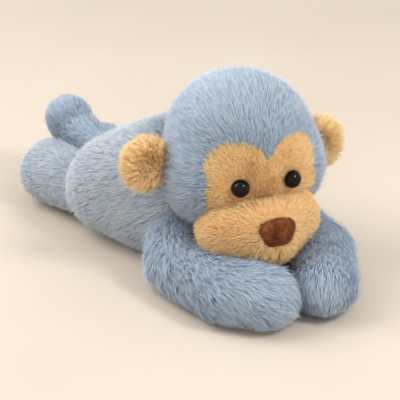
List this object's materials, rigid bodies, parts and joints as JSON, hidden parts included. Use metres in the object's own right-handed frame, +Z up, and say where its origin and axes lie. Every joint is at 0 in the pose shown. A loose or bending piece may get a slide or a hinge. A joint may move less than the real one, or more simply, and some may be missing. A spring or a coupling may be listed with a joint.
{
  "type": "stuffed monkey",
  "caption": "Plush monkey lying on its belly with its chin on folded arms; head, ears, arms, legs and tail move.",
  "frame": {"origin": "on the floor, under the middle of the belly", "axes": "+Z up, -Y where the monkey's body points, +X its left side"},
  "size_m": [0.1903, 0.3581, 0.171],
  "materials": {
    "plush_blue": "long-pile plush",
    "plush_tan": "long-pile plush",
    "suede_brown": "brushed suede cloth",
    "eye_black": "polished",
    "washer_plastic": "moulded",
    "stuffing": "loose polyester fibre"
  },
  "bodies": {
    "torso": {"torso_back_panel": "plush_blue", "torso_belly_panel": "plush_blue", "torso_stuffing": "stuffing"},
    "neck": {"neck_sleeve": "plush_blue"},
    "head": {"head_cover": "plush_blue", "face_panel": "plush_tan", "muzzle_cover": "plush_tan", "nose": "suede_brown", "eye_right": "eye_black", "eye_left": "eye_black", "eye_washer_right": "washer_plastic", "eye_washer_left": "washer_plastic", "head_stuffing": "stuffing", "muzzle_stuffing": "stuffing"},
    "ear_right": {"ear_front_right": "plush_tan", "ear_back_right": "plush_tan"},
    "ear_left": {"ear_front_left": "plush_tan", "ear_back_left": "plush_tan"},
    "arm_right": {"arm_cover_right": "plush_blue", "arm_stuffing_right": "stuffing"},
    "arm_left": {"arm_cover_left": "plush_blue", "arm_stuffing_left": "stuffing"},
    "leg_right": {"leg_cover_right": "plush_blue", "leg_stuffing_right": "stuffing"},
    "leg_left": {"leg_cover_left": "plush_blue", "leg_stuffing_left": "stuffing"},
    "tail": {"tail_cover": "plush_blue", "tail_stuffing": "stuffing"}
  },
  "joints": [
    {"name": "neck_turn", "type": "hinge", "parent": "torso", "child": "neck", "pos_m": [0.01917, -0.06133, 0.112], "axis": [0, 0, 1], "range_deg": [-7, 8]},
    {"name": "neck_nod", "type": "hinge", "parent": "neck", "child": "head", "pos_m": [0.02848, -0.03706, 0.088], "axis": [-0.9336, 0.3584, 0], "range_deg": [0, 25]},
    {"name": "ear_right_fold", "type": "hinge", "parent": "head", "child": "ear_right", "pos_m": [-0.04302, -0.05031, 0.109], "axis": [0, 0, 1], "range_deg": [-20, 35]},
    {"name": "ear_left_fold", "type": "hinge", "parent": "head", "child": "ear_left", "pos_m": [0.07275, -0.09475, 0.109], "axis": [0, 0, -1], "range_deg": [-20, 35]},
    {"name": "shoulder_right", "type": "hinge", "parent": "torso", "child": "arm_right", "pos_m": [-0.051, -0.067, 0.0195], "axis": [0, 0, -1], "range_deg": [0, 40]},
    {"name": "shoulder_left", "type": "hinge", "parent": "torso", "child": "arm_left", "pos_m": [0.053, -0.067, 0.0195], "axis": [0, 0, 1], "range_deg": [0, 40]},
    {"name": "hip_right", "type": "hinge", "parent": "torso", "child": "leg_right", "pos_m": [-0.03, 0.084, 0.028], "axis": [0, 0, 1], "range_deg": [0, 30]},
    {"name": "hip_left", "type": "hinge", "parent": "torso", "child": "leg_left", "pos_m": [0.03, 0.084, 0.028], "axis": [0, 0, -1], "range_deg": [0, 30]},
    {"name": "tail_root", "type": "hinge", "parent": "torso", "child": "tail", "pos_m": [0, 0.084, 0.057], "axis": [1, 0, 0], "range_deg": [0, 35]}
  ]
}
